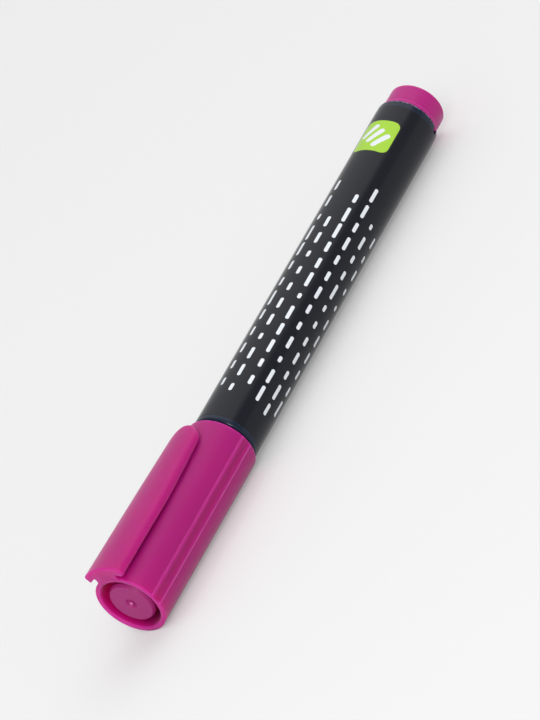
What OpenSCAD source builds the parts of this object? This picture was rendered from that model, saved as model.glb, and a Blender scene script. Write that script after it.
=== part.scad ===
// Permanent marker with a bullet nib, capped, lying on its side.
// Each piece is drawn along its own axis, z, from the cap's closed end (z = 0) to the end plug,
// with x up, where the clip is. The last module lays it along +X, clip up, with the middle of the
// label at the origin. It rests on the grip beads opposite the clip and on the label's rear end.

/* [Barrel] */
// Outside diameter of the bare barrel
barrel_d = 13.16; // [12:0.02:15]
// Length of the barrel from its front shoulder to its rear rim
barrel_len = 90.4; // [70:0.1:110]
// Wall thickness of the barrel
barrel_wall = 1.05; // [0.9:0.05:1.3]
// Rounding of the barrel's shoulder and rear rim
barrel_edge = 0.4; // [0.2:0.05:0.45]
// Step from the barrel down to the neck that the cap closes on
shoulder_step = 0.63; // [0.5:0.01:0.8]
// Length of the neck
neck_len = 11.5; // [8:0.1:15]
// Length of the cone in front of the neck
cone_len = 11; // [8:0.1:15]
// Diameter of the cone's small end
cone_tip_d = 9.2; // [8.6:0.1:10]
// Diameter of the nose that the inner cap seals on
nose_d = 6.8; // [6.4:0.1:7.6]
// Length of the nose
nose_len = 9.9; // [8:0.1:13]
// Height of the ribs that hold the reservoir inside the barrel
rib_height = 0.7; // [0.5:0.05:0.9]
// Thickness of those ribs
rib_t = 0.9; // [0.6:0.1:1.2]
// Number of those ribs
rib_count = 6; // [4:1:8]
// Width of the pry notch in the rear rim
notch_w = 1.3; // [0.8:0.1:2]
// Depth of the pry notch
notch_depth = 1.2; // [0.5:0.1:1.4]

/* [Label] */
// Thickness of the label film
label_t = 0.1; // [0.08:0.01:0.2]
// Bare barrel in front of the label
label_front = 1.2; // [0.6:0.1:6]
// Bare barrel behind the label
label_rear = 1.7; // [1.5:0.1:6]

/* [Cap] */
// Wall thickness of the cap shell
cap_wall = 1.1; // [1:0.05:1.4]
// Rounding of the cap's outer edges
cap_edge = 0.3; // [0.2:0.05:0.45]
// Gap between the cap's mouth and the barrel's shoulder
mouth_gap = 0.7; // [0.4:0.1:1]
// Radius of the round bars that make the grip beads
bead_r = 0.6; // [0.5:0.05:0.7]
// How far a grip bead stands out of the cap
bead_height = 0.2; // [0.15:0.05:0.3]
// Distance between the two beads of a pair
bead_pitch = 1.9; // [1.5:0.1:2.5]

/* [Clip] */
// Length of the clip from the closed end to its tip
clip_len = 38.4; // [30:0.1:40]
// Width of the clip at its root
clip_w = 10.1; // [9.6:0.1:11]
// Width between the clip's lower edges at its root
clip_lower_w = 9.3; // [8.8:0.1:9.5]
// Radius of the clip's round tip
clip_tip_r = 3.85; // [3.5:0.05:4.2]
// Thickness of the clip at its root
clip_t = 1.65; // [1.4:0.05:1.8]
// Thickness of the clip at its tip
clip_tip_t = 1.4; // [1:0.05:1.6]
// Pocket gap between the clip and the cap at the clip's root
clip_gap = 1.15; // [0.9:0.05:1.6]
// Gap that is left under the clip's tip
clip_tip_gap = 0.6; // [0.3:0.05:0.8]
// Rounding of the clip's root end
clip_edge = 0.6; // [0.3:0.05:0.7]
// Width of the neck that joins the clip to the cap
clip_neck_w = 5.1; // [4.5:0.1:7]
// Length of that neck
clip_neck_len = 5; // [3:0.1:8]

/* [Inner cap] */
// Wall thickness of the sealing cup
cup_wall = 1.35; // [1:0.05:1.6]
// Thickness of the cup's closed end
cup_end = 1.2; // [0.9:0.05:1.6]
// How far the cup's end lies inside the cap's rim
cup_recess = 0.4; // [0.2:0.05:1]
// Rounding of the cup's end
cup_edge = 0.45; // [0.3:0.05:0.6]
// Diameter of the moulding gate's dimple
gate_d = 1.9; // [1.2:0.1:2.4]
// Depth of that dimple
gate_depth = 0.2; // [0.1:0.05:0.3]
// Diameter of the nub that the gate leaves in that dimple
gate_nub_d = 0.6; // [0.3:0.05:0.7]
// Number of ribs that hold the cup in the cap
cup_ribs = 6; // [4:1:8]
// Thickness of those ribs
cup_rib_t = 1; // [0.7:0.1:1.4]
// Where those ribs start
cup_rib_start = 5; // [3:0.1:7]
// Length of those ribs
cup_rib_len = 9; // [5:0.1:11]

/* [Nib] */
// Diameter of the nib
nib_d = 4; // [3.2:0.1:4.4]
// How far the nib stands out of the nose
nib_out = 5.5; // [4:0.1:8]
// Radius of the nib's bullet tip
nib_tip_r = 1.2; // [0.8:0.1:1.5]
// Length of the nib's taper to that tip
nib_taper = 2.2; // [1.5:0.1:3]
// Room between the nib's tip and the inner cap
nib_room = 2.4; // [1.5:0.1:3.5]
// How far the nib reaches into the reservoir
nib_bite = 6; // [4:0.1:10]

/* [Reservoir] */
// Thickness of the film round the ink reservoir
wrap_t = 0.12; // [0.08:0.01:0.2]

/* [End plug] */
// Length of the plug behind the barrel
plug_out = 5.65; // [5:0.05:8]
// Length of the plug's stem inside the barrel
plug_stem = 6.5; // [4:0.1:9]
// Wall thickness of the stem
plug_wall = 1.1; // [0.8:0.05:1.4]
// Thickness of the plug's collar on the barrel's rim
collar_t = 0.95; // [0.5:0.05:1.2]
// How far the collar stands out of the plug
collar_step = 0.3; // [0.2:0.05:0.4]
// Width of the groove behind the collar
collar_groove = 0.25; // [0.15:0.05:0.4]
// Rounding of the plug's far edge
plug_edge = 0.55; // [0.3:0.05:0.8]

/* [Fits] */
// Clearance between the neck and the cap
cap_fit = 0.2; // [0.15:0.01:0.3]
// Clearance between the snap bead on the neck and the cap
snap_fit = 0.06; // [0.05:0.01:0.1]
// Clearance between the nose and the inner cap
seal_fit = 0.15; // [0.1:0.01:0.2]
// Clearance between the plug and a cap that is pushed on to it
post_fit = 0.15; // [0.1:0.01:0.2]
// Clearance of pieces that are pressed or glued together
press_fit = 0.02; // [0.01:0.005:0.03]
// Clearance between the reservoir and what holds it
reservoir_fit = 0.1; // [0.05:0.01:0.2]

/* [Hidden] */
$fn = 96;

magenta = [0.67, 0.15, 0.46];
navy = [0.12, 0.15, 0.2];
black = [0.1, 0.1, 0.11];
felt = [0.5, 0.1, 0.34];
fibre = [0.62, 0.2, 0.45];
clear_film = [0.85, 0.85, 0.88];

// Radii, from the barrel outwards and inwards
barrel_r = barrel_d / 2;
neck_r = barrel_r - shoulder_step;
cap_bore_r = neck_r + cap_fit;
cap_r = cap_bore_r + cap_wall;
barrel_bore_r = barrel_r - barrel_wall;
rib_circle_r = barrel_bore_r - rib_height;
wrap_r = rib_circle_r - reservoir_fit;
core_r = wrap_r - wrap_t - press_fit;
label_bore_r = barrel_r + press_fit;
label_r = label_bore_r + label_t;
nose_r = nose_d / 2;
nib_r = nib_d / 2;
nib_bore_r = nib_r + press_fit;
cup_bore_r = nose_r + seal_fit;
cup_r = cup_bore_r + cup_wall;
plug_r = cap_bore_r - post_fit;
stem_r = barrel_bore_r - press_fit;

// Places along the pen, from the cap's closed end
cup_gap = 0.5;
reservoir_seat = 1.5;
reservoir_play = 0.4;
cup_floor_z = cup_recess + cup_end;
nib_tip_z = cup_floor_z + nib_room;
nose_z = nib_tip_z + nib_out;
cone_z = nose_z + nose_len;
neck_z = cone_z + cone_len;
shoulder_z = neck_z + neck_len;
rear_z = shoulder_z + barrel_len;
end_z = rear_z + plug_out;
cap_len = shoulder_z - mouth_gap;
cup_mouth_z = cone_z - cup_gap;
label_z = shoulder_z + label_front;
label_end_z = rear_z - label_rear;
grip_z = (label_z + label_end_z) / 2;
stem_z = rear_z - plug_stem;
core_z = neck_z + reservoir_seat;
core_end_z = stem_z - reservoir_play;
nib_end_z = core_z + nib_bite;

// Inside of the barrel
bore_step_z = shoulder_z + barrel_wall;
rib_sink = 0.3;
nose_lead = 0.4;

// Snap bead on the neck, and the lead-in at the cap's mouth
snap_bead_r = cap_bore_r - snap_fit;
snap_bead_half = 0.6;
snap_z = shoulder_z - neck_len / 3;
mouth_lead = 0.3;

// Clip: its sides lean out from the lower edges at the root, then follow arcs into the round tip
clip_in_r = cap_r + clip_gap;
clip_out_r = clip_in_r + clip_t;
clip_tip_in_r = cap_r + clip_tip_gap;
clip_tip_out_r = clip_tip_in_r + clip_tip_t;
clip_half_w = clip_w / 2;
clip_tip_z = clip_len - clip_tip_r;
clip_side_r = (pow(clip_half_w, 2) + pow(clip_tip_z, 2) - pow(clip_tip_r, 2))
    / (2 * (clip_half_w - clip_tip_r));
clip_half_angle = asin(clip_lower_w / 2 / clip_in_r);
clip_neck_half_angle = asin(clip_neck_w / 2 / cap_r);
weld = 0.5;

// Grip beads: a pair at each side of the cap and one opposite the clip
bead_places = [90, 180, 270];
bead_axis_r = cap_r + bead_height - bead_r;
bead_margin = 1.25 * cap_edge;
bead_half_angle = asin(bead_pitch / 2 / cap_r);

// Pry notch, measured from straight up towards -Y
notch_turn = 118;

// A quarter turn or part of one, in points
function arc(centre, radius, from, to, steps = 6) =
    [for (i = [0:steps])
        let (a = from + (to - from) * i / steps)
        centre + radius * [cos(a), sin(a)]];

module revolve(points) {
    rotate_extrude()
        polygon(points);
}

// A sector of a revolved section, centred on +x
module sector(half_angle, points) {
    rotate([0, 0, -half_angle])
        rotate_extrude(angle = 2 * half_angle)
            polygon(points);
}

module tube(outer_r, inner_r, from_z, to_z) {
    revolve([[inner_r, from_z], [outer_r, from_z], [outer_r, to_z], [inner_r, to_z]]);
}

// Clip's outline, carried through along +x: two arcs for the sides, run into a round tip
module clip_outline() {
    side_shift = clip_side_r - clip_half_w;
    start = -asin(weld / clip_side_r);
    touch = atan2(clip_tip_z, side_shift);
    tip_step = 10;
    tip_from = touch + tip_step;
    side_steps = 8;
    tip_steps = 16;
    rotate([90, 0, 90])
        linear_extrude(height = clip_out_r + weld)
            polygon(concat(
                arc([-side_shift, 0], clip_side_r, start, touch, side_steps),
                arc([0, clip_tip_z], clip_tip_r, tip_from, 180 - tip_from, tip_steps),
                arc([side_shift, 0], clip_side_r, 180 - touch, 180 - start, side_steps)));
}

// Clip, drawn on +x: a curved shell that slopes down to its tip, and the neck that carries it
module clip() {
    section = concat(
        [[clip_in_r, 0]],
        arc([clip_out_r - clip_edge, clip_edge], clip_edge, -90, 0),
        [[clip_tip_out_r, clip_len + weld], [clip_tip_in_r, clip_len + weld]]);
    intersection() {
        sector(clip_half_angle, section);
        clip_outline();
    }
    sector(clip_neck_half_angle, [
        [cap_r - weld, 0],
        [clip_in_r + weld, 0],
        [clip_in_r + weld, clip_neck_len],
        [cap_r - weld, clip_neck_len]]);
}

module grip_beads() {
    for (place = bead_places, side = [-1, 1])
        rotate([0, 0, place + side * bead_half_angle])
            translate([bead_axis_r, 0, bead_margin])
                cylinder(r = bead_r, h = cap_len - 2 * bead_margin, $fn = 32);
}

module cap_shell() {
    wall = concat(
        arc([cap_r - cap_edge, cap_edge], cap_edge, -90, 0),
        arc([cap_r - cap_edge, cap_len - cap_edge], cap_edge, 0, 90),
        [[cap_bore_r + mouth_lead, cap_len], [cap_bore_r, cap_len - mouth_lead], [cap_bore_r, 0]]);
    color(magenta) {
        revolve(wall);
        grip_beads();
        clip();
    }
}

module inner_cap() {
    nub_r = gate_nub_d / 2;
    nub_z = cup_recess + gate_depth / 2;
    gate_z = cup_recess + gate_depth;
    cup = concat(
        [[0, nub_z], [nub_r, nub_z], [nub_r, gate_z]],
        [[gate_d / 2 - gate_depth, gate_z], [gate_d / 2, cup_recess]],
        arc([cup_r - cup_edge, cup_recess + cup_edge], cup_edge, -90, 0),
        [[cup_r, cup_mouth_z], [cup_bore_r, cup_mouth_z], [cup_bore_r, cup_floor_z], [0, cup_floor_z]]);
    rib_r = cap_bore_r - press_fit;
    color(magenta) {
        revolve(cup);
        intersection() {
            tube(rib_r, cup_bore_r + cup_wall / 2, cup_rib_start, cup_rib_start + cup_rib_len);
            for (i = [0:cup_ribs - 1])
                rotate([0, 0, (i + 0.5) * 360 / cup_ribs])
                    translate([0, -cup_rib_t / 2, cup_rib_start])
                        cube([cap_r, cup_rib_t, cup_rib_len]);
        }
    }
}

module barrel() {
    outside = concat(
        [[nib_bore_r + nose_lead, nose_z], [nose_r - nose_lead, nose_z], [nose_r, nose_z + nose_lead]],
        [[nose_r, cone_z], [cone_tip_d / 2, cone_z], [neck_r, neck_z]],
        [[neck_r, snap_z - snap_bead_half], [snap_bead_r, snap_z], [neck_r, snap_z + snap_bead_half]],
        [[neck_r, shoulder_z]],
        arc([barrel_r - barrel_edge, shoulder_z + barrel_edge], barrel_edge, -90, 0),
        arc([barrel_r - barrel_edge, rear_z - barrel_edge], barrel_edge, 0, 90));
    inside = [
        [barrel_bore_r, rear_z],
        [barrel_bore_r, bore_step_z],
        [rib_circle_r, bore_step_z],
        [rib_circle_r, neck_z],
        [nib_bore_r, cone_z],
        [nib_bore_r, nose_z + nose_lead]];
    ribs_z = bore_step_z - rib_sink;
    color(navy)
        difference() {
            union() {
                revolve(concat(outside, inside));
                intersection() {
                    tube(barrel_bore_r + rib_sink, rib_circle_r, ribs_z, stem_z - reservoir_play);
                    for (i = [0:rib_count - 1])
                        rotate([0, 0, i * 360 / rib_count])
                            translate([0, -rib_t / 2, ribs_z])
                                cube([barrel_r, rib_t, barrel_len]);
                }
            }
            rotate([0, 0, notch_turn])
                translate([barrel_bore_r - press_fit / 2, -notch_w / 2, rear_z - notch_depth])
                    cube([2 * barrel_wall, notch_w, 2 * notch_depth]);
        }
}

module label_film() {
    color(black)
        tube(label_r, label_bore_r, label_z, label_end_z);
}

module nib() {
    rear_r = nib_r / 2;
    rear_taper = nib_bite / 3;
    tip_from = -80;
    tip_to = -20;
    color(felt)
        revolve(concat(
            [[0, nib_tip_z]],
            arc([0, nib_tip_z + nib_tip_r], nib_tip_r, tip_from, tip_to),
            [[nib_r, nib_tip_z + nib_tip_r + nib_taper], [nib_r, nib_end_z - rear_taper]],
            [[rear_r, nib_end_z], [0, nib_end_z]]));
}

module ink_reservoir() {
    socket_r = nib_r + press_fit;
    socket_z = nib_end_z + reservoir_fit;
    color(fibre)
        revolve([
            [socket_r, core_z],
            [core_r, core_z],
            [core_r, core_end_z],
            [0, core_end_z],
            [0, socket_z],
            [socket_r, socket_z]]);
}

module reservoir_film() {
    color(clear_film)
        tube(wrap_r, wrap_r - wrap_t, core_z, core_end_z);
}

module end_plug() {
    collar_r = plug_r + collar_step;
    groove_r = plug_r - collar_groove;
    collar_z = rear_z + press_fit;
    groove_z = collar_z + collar_t;
    stem_lead = plug_wall / 3;
    color(magenta)
        revolve(concat(
            [[stem_r - plug_wall, stem_z], [stem_r - stem_lead, stem_z], [stem_r, stem_z + stem_lead]],
            [[stem_r, collar_z], [collar_r, collar_z], [collar_r, groove_z], [groove_r, groove_z]],
            [[groove_r, groove_z + collar_groove], [plug_r, groove_z + collar_groove]],
            arc([plug_r - plug_edge, end_z - plug_edge], plug_edge, 0, 90),
            [[0, end_z], [0, rear_z], [stem_r - plug_wall, rear_z]]));
}

module lay_down() {
    translate([-grip_z, 0, 0])
        rotate([180, -90, 0])
            children();
}

lay_down() cap_shell();
lay_down() inner_cap();
lay_down() barrel();
lay_down() label_film();
lay_down() nib();
lay_down() ink_reservoir();
lay_down() reservoir_film();
lay_down() end_plug();
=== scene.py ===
"""Looks of a capped permanent marker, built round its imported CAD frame.

The pen lies along +X with its clip straight up. Sizes are in millimetres, and places along the pen
count from the cap's closed end, as in the part's source. pen_point() turns them into metres.
"""

import math

import bmesh
import bpy
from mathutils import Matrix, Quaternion, Vector


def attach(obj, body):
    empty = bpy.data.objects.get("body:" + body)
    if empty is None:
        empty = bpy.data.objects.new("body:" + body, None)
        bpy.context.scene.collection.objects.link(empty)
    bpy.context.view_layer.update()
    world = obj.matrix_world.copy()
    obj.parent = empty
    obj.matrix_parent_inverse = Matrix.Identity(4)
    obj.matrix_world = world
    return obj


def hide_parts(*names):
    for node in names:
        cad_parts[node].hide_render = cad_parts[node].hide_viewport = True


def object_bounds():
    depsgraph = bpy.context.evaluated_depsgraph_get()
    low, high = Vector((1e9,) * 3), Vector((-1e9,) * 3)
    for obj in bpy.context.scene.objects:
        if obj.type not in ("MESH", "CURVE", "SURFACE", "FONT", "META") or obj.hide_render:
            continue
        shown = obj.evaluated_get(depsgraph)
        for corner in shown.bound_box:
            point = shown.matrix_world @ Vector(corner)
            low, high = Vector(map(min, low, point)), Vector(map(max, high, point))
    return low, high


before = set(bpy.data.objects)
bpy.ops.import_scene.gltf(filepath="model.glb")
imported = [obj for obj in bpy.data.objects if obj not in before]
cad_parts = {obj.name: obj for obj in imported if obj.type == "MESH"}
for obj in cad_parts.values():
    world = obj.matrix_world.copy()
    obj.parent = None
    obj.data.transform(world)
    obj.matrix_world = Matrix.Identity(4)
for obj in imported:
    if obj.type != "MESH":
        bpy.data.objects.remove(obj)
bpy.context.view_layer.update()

MM = 0.001
# Points nearer to each other than this count as one
SAME_POINT = 1e-4
# Room round pieces that are pressed or glued in
CLEARANCE = 0.02
# Place of the part's origin along the pen
ORIGIN_Z = 86.85

# Radii
BARREL_R = 6.58
BAND_R = 6.67
BARREL_BORE_R = 5.53
FRONT_BORE_R = 4.83
NECK_R = 5.95
SNAP_R = 6.09
NOSE_R = 3.4
CONE_TIP_R = 4.6
NIB_R = 2.0
NIB_BORE_R = NIB_R + CLEARANCE
NIB_TIP_R = 1.2
LABEL_R = 6.7
LABEL_BORE_R = 6.6
CAP_R = 7.25
CAP_BORE_R = 6.15
CUP_R = 4.78
CUP_BORE_R = 3.55
PLUG_R = 6.0
COLLAR_R = 6.3
GROOVE_R = 5.8
STEM_R = 5.51
STEM_BORE_R = 4.41

# Places along the pen
CAP_END = 0.0
CAP_MOUTH = 41.2
CUP_FACE = 0.4
CUP_FLOOR = 1.6
CUP_MOUTH = 18.9
NIB_TIP = 4.0
NIB_CONE_END = 7.4
NIB_REAR_TAPER = 35.9
NIB_REAR = 37.9
NOSE_FRONT = 9.5
CONE_FRONT = 19.4
NECK_FRONT = 30.4
SNAP_BEAD = 38.07
SHOULDER = 41.75
BORE_STEP = 42.8
LABEL_FRONT = 43.1
LABEL_REAR = 130.8
BARREL_REAR = 132.3
STEM_FRONT = 125.8
COLLAR_FRONT = 132.32
COLLAR_REAR = 133.3
GROOVE_REAR = 133.5
PLUG_END = 137.95

# Edge roundings, bevels and slopes
FINE_EDGE = 0.08
SHOULDER_EDGE = 0.6
REAR_RIM_EDGE = 0.18
NOSE_LEAD = 0.4
SNAP_HALF_LEN = 0.6
LABEL_EDGE = 0.03
CAP_END_EDGE = 0.22
CAP_MOUTH_EDGE = 0.3
CAP_MOUTH_BEVEL = 0.3
CAP_BORE_EDGE = 0.4
CUP_BEVEL = 0.38
CUP_BEVEL_LEN = 0.62
CUP_BEVEL_EDGE = 0.08
PLUG_EDGE = 0.55

# Grip beads: pairs at each side of the cap and opposite the clip
BEAD_PLACES = (90, 180, 270)
BEAD_HALF_TURN = 7.53
BEAD_CENTRES = [place + side * BEAD_HALF_TURN for place in BEAD_PLACES for side in (-1, 1)]
BEAD_HALF_ARC = math.radians(BEAD_HALF_TURN) * CAP_R
BEAD_HALF_W = 0.5
BEAD_HEIGHT = 0.18
BEAD_CHANNEL = 0.03
BEAD_FRONT = 0.25
BEAD_REAR = 40.85
BEAD_END_RAMP = 0.2
BEAD_RAMP_SHARES = (0.001, 0.15, 0.4, 0.7, 1)

# Clip: its plan is drawn flat, and its root stands on a neck
CLIP_ROOT_IN_R = 8.4
CLIP_ROOT_OUT_R = 10.05
CLIP_TIP_IN_R = 7.85
CLIP_TIP_OUT_R = 9.25
CLIP_LEN = 38.4
CLIP_TIP_R = 3.85
CLIP_TIP_Z = CLIP_LEN - CLIP_TIP_R
CLIP_HALF_TURN = 33.5
CLIP_PLAN_HALF_W = 5.05
CLIP_TAPER = CLIP_PLAN_HALF_W - CLIP_TIP_R
CLIP_SIDE_R = (CLIP_PLAN_HALF_W**2 + CLIP_TIP_Z**2 - CLIP_TIP_R**2) / (2 * CLIP_TAPER)
CLIP_EDGE = 0.75
CLIP_ROOT_EDGE = 0.3
CLIP_LOWER_EDGE = 0.55
CLIP_LEAST_EDGE = 0.02
CLIP_CORNER_R = 0.5
CLIP_NECK_HALF_W = 2.6
CLIP_NECK_FRONT = 0.02
CLIP_NECK_LEN = 5.0
CLIP_NECK_FILLET = 0.35
CLIP_NECK_CORNER_R = 0.5
CLIP_NECK_SINK = 0.5

# Ribs and gate mark of the inner cap
CUP_RIB_COUNT = 6
CUP_RIB_TURNS = [(i + 0.5) * 360 / CUP_RIB_COUNT for i in range(CUP_RIB_COUNT)]
CUP_RIB_HALF_W = 0.5
CUP_RIB_HALF_TURN = math.degrees(CUP_RIB_HALF_W / CUP_R)
CUP_RIB_FLANK_TURN = 0.2
CUP_RIB_R = CAP_BORE_R - CLEARANCE
CUP_RIB_START = 5.0
CUP_RIB_END = 14.0
CUP_RIB_STEP = 0.02
GATE_R = 1.2
GATE_SLOPE = 0.3
GATE_DEPTH = 0.45
GATE_NUB_R = 0.5
GATE_NUB_SLOPE = 0.1
GATE_EDGE = 0.03

# Pry notch in the barrel's rear rim, from up towards -Y
NOTCH_TURN = 118
NOTCH_W = 1.3
NOTCH_DEPTH = 1.2
NOTCH_CORNER_R = 0.15
NOTCH_BLOCK = 2.2
NOTCH_SINK = 0.01

# Overlap of the label film on the far side, in degrees, and its rise
SEAM_TURN = 262
SEAM_OVERLAP = 30
SEAM_STEP = (SEAM_TURN - 0.15, SEAM_TURN + 0.01)
SEAM_RISE = 0.05

# Facets
EDGE_FACETS = 6
CAP_FACETS = 144
BEAD_HALF_FACETS = 7
BEAD_CLEAR_TURN = 0.6
CUP_FACETS = 96
BARREL_FACETS = 192
LABEL_FACETS = 180
PLUG_FACETS = 160
NIB_FACETS = 96
CLIP_HALF_FACETS = 12
CLIP_CORNER_FACETS = 3
CLIP_LONG_FACETS = 40
CLIP_TIP_FACETS = 10
CLIP_TIP_SPLIT = 40
CLIP_SIDE_FACETS = CLIP_CORNER_FACETS + CLIP_LONG_FACETS + CLIP_TIP_FACETS
CLIP_NECK_FACETS = 10
CLIP_NECK_FILLET_FACETS = 5
CLIP_NECK_CORNER_FACETS = 4
SHARP_ANGLE = 38


def pen_point(z, radius, turn):
    """Point in metres: z along the pen, radius from its axis, turn in degrees from up towards -Y."""
    a = math.radians(turn)
    return Vector((z - ORIGIN_Z, -radius * math.sin(a), radius * math.cos(a))) * MM


def side_point(z, side, radius):
    """Point in metres: side is its distance to the right of the clip's middle, towards -Y."""
    up = math.sqrt(max(radius * radius - side * side, 0.0))
    return Vector((z - ORIGIN_Z, -side, up)) * MM


def nearest_gap(turn, places):
    """Degrees from a turn to the nearest of some places round the pen."""
    return min(abs((turn - place + 180) % 360 - 180) for place in places)


def even_turns(count):
    return [360 * i / count for i in range(count)]


def quarter(steps):
    """Angles from 0 to a right angle, in radians."""
    return [math.pi / 2 * k / steps for k in range(steps + 1)]


def rounded(corners, steps=EDGE_FACETS):
    """Outline of (z, radius) points from corners of (z, radius, rounding)."""
    outline = []
    count = len(corners)
    for i, (z, radius, rounding) in enumerate(corners):
        here = Vector((z, radius))
        if rounding == 0:
            outline.append(here)
            continue
        before = (Vector(corners[i - 1][:2]) - here).normalized()
        after = (Vector(corners[(i + 1) % count][:2]) - here).normalized()
        half = before.angle(after) / 2
        centre = here + (before + after).normalized() * (rounding / math.sin(half))
        start = here + before * (rounding / math.tan(half)) - centre
        end = here + after * (rounding / math.tan(half)) - centre
        sweep = start.angle_signed(end)
        for k in range(steps + 1):
            a = -sweep * k / steps
            turned = Vector((
                start.x * math.cos(a) - start.y * math.sin(a),
                start.x * math.sin(a) + start.y * math.cos(a),
            ))
            outline.append(centre + turned)
    pairs = zip(outline[-1:] + outline, outline)
    return [(b.x, b.y) for a, b in pairs if (b - a).length > SAME_POINT]


def new_piece(name, bm):
    """Object from a bmesh, with outward normals."""
    bmesh.ops.recalc_face_normals(bm, faces=bm.faces)
    mesh = bpy.data.meshes.new(name)
    bm.to_mesh(mesh)
    bm.free()
    piece = bpy.data.objects.new(name, mesh)
    bpy.context.scene.collection.objects.link(piece)
    return piece


def join_rings(bm, a, b):
    """Faces between two rings of equally many points."""
    for i in range(len(a)):
        j = (i + 1) % len(a)
        bm.faces.new((a[i], a[j], b[j], b[i]))


def revolve(name, outline, closed, turns, lift=None):
    """Piece turned from an outline. lift(z, radius, turn) gives another radius where it isn't round."""
    bm = bmesh.new()
    rings = []
    for z, radius in outline:
        if radius < SAME_POINT:
            rings.append([bm.verts.new(pen_point(z, 0, 0))])
            continue
        radii = [lift(z, radius, t) if lift else radius for t in turns]
        rings.append([bm.verts.new(pen_point(z, r, t)) for r, t in zip(radii, turns)])
    pairs = list(zip(rings, rings[1:]))
    if closed:
        pairs.append((rings[-1], rings[0]))
    for a, b in pairs:
        for i in range(len(turns)):
            j = (i + 1) % len(turns)
            corners = [a[i % len(a)], a[j % len(a)], b[j % len(b)], b[i % len(b)]]
            bm.faces.new(list(dict.fromkeys(corners)))
    return new_piece(name, bm)


def combine(piece, tool, operation):
    """Applies an exact boolean and removes the tool."""
    modifier = piece.modifiers.new(operation.title(), "BOOLEAN")
    modifier.operation = operation
    modifier.solver = "EXACT"
    modifier.object = tool
    depsgraph = bpy.context.evaluated_depsgraph_get()
    made = bpy.data.meshes.new_from_object(piece.evaluated_get(depsgraph))
    made.name = piece.name
    piece.modifiers.clear()
    piece.data = made
    bpy.data.objects.remove(tool)


def dress(piece, body, node, material):
    """Smooth shading, material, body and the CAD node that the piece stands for."""
    piece.data.shade_smooth()
    piece.data.set_sharp_from_angle(angle=math.radians(SHARP_ANGLE))
    weighted = piece.modifiers.new("Weighted normals", "WEIGHTED_NORMAL")
    weighted.keep_sharp = True
    piece.data.materials.clear()
    piece.data.materials.append(material)
    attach(piece, body)
    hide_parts(node)


# Colours

MAGENTA = (0.4, 0.005, 0.168, 1)
# Darker copy of the cap's magenta for the inner cap: painted shade
MAGENTA_SHADED = (0.35, 0.018, 0.165, 1)
# Lighter, bluer copy of the cap's magenta for the plug: painted reflection
MAGENTA_PLUG_LIT = (0.43, 0.012, 0.2, 1)
# Painted shade in the channel between grip beads
MAGENTA_CHANNEL_SHADE = (0.37, 0.003, 0.14, 1)
# Painted shade deep in the cap's bore
MAGENTA_GAP_SHADE = (0.36, 0.0, 0.115, 1)
# Pale gate scar and the painted highlight on it
MAGENTA_SCAR_HIGHLIGHT = (0.75, 0.22, 0.48, 1)
# Worn edges, and painted highlights on the beads, the cap's end and the plug's collar
MAGENTA_WEAR_AND_HIGHLIGHT = (0.62, 0.05, 0.33, 1)
MAGENTA_DUST = (0.62, 0.12, 0.36, 1)
NAVY = (0.003, 0.01, 0.027, 1)
NAVY_WORN = (0.14, 0.15, 0.24, 1)
# Painted highlight along the barrel's rear rim
NAVY_RIM_HIGHLIGHT = (0.3, 0.3, 0.52, 1)
NAVY_DUST = (0.07, 0.08, 0.1, 1)
LABEL_BLACK = (0.0058, 0.0066, 0.0122, 1)
PRINT_WHITE = (0.74, 0.77, 0.82, 1)
PRINT_LIME = (0.35, 0.61, 0.04, 1)
NIB_INK = (0.17, 0.012, 0.08, 1)
RESERVOIR_INK = (0.3, 0.03, 0.14, 1)
FILM_STAINED = (0.55, 0.3, 0.42, 1)
FILM_CLEAR = (0.78, 0.68, 0.74, 1)

# Wear, dust and grain of the plastics
WORN_EDGE_R = 0.35
WORN_EDGE_GAIN = 6.0
DUST_CELL = 4.0
DUST_R = 0.14
DUST_SHARE = 0.35
GRAIN_DEPTH = 0.01
LIGHT_SPREAD = (1.0, 0.15, 0.6)
CAP_LIGHT_REACH = 7.0
PLUG_LIGHT_REACH = 2.0

# Marks on the plastics, and painted shade and highlights
MARK_EDGE = 0.03
# Painted highlight rings on the barrel's rear rim and the plug's collar
RIM_HIGHLIGHT_OFF = 0.17
RIM_HIGHLIGHT_HALF_W = 0.13
# Painted highlight, with some rubbing, along the outer sides of the grip beads
BEAD_HIGHLIGHT_OFF = 0.22
BEAD_HIGHLIGHT_HALF_W = 0.2
BEAD_HIGHLIGHT_TURNS = (68, 100)
# Turns away from the clip over which the painted channel shade grows
CHANNEL_TURNS = (40, 60)
CAP_WALL_HALF = 0.2
# Depths where the painted shade in the cap's bore begins and is full
GAP_LIT = 0.75
GAP_DARK = 1.5
GAP_R = CAP_BORE_R + 0.05
# Size and depth of the painted highlight on the gate scar
GATE_HIGHLIGHT_R = 0.26
GATE_HIGHLIGHT_DEPTH = 0.3

# Middle part of a noise's values, which is spread over the wanted range
NOISE_LOW = 0.3
NOISE_HIGH = 0.7


# Material helpers


def new_material(name):
    material = bpy.data.materials.new(name)
    material.use_nodes = True
    tree = material.node_tree
    return material, tree, tree.nodes["Principled BSDF"]


def add_node(tree, kind, inputs=None, **settings):
    """Node with its settings, and inputs that are values or other nodes' outputs."""
    node = tree.nodes.new(kind)
    for key, value in settings.items():
        setattr(node, key, value)
    for key, value in (inputs or {}).items():
        if isinstance(value, bpy.types.NodeSocket):
            tree.links.new(value, node.inputs[key])
        else:
            node.inputs[key].default_value = value
    return node


def maths(tree, operation, a, b=0.0):
    return add_node(tree, "ShaderNodeMath", {0: a, 1: b}, operation=operation).outputs[0]


def plus(tree, a, b):
    return maths(tree, "ADD", a, b)


def minus(tree, a, b):
    return maths(tree, "SUBTRACT", a, b)


def times(tree, first, *others):
    for other in others:
        first = maths(tree, "MULTIPLY", first, other)
    return first


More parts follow.
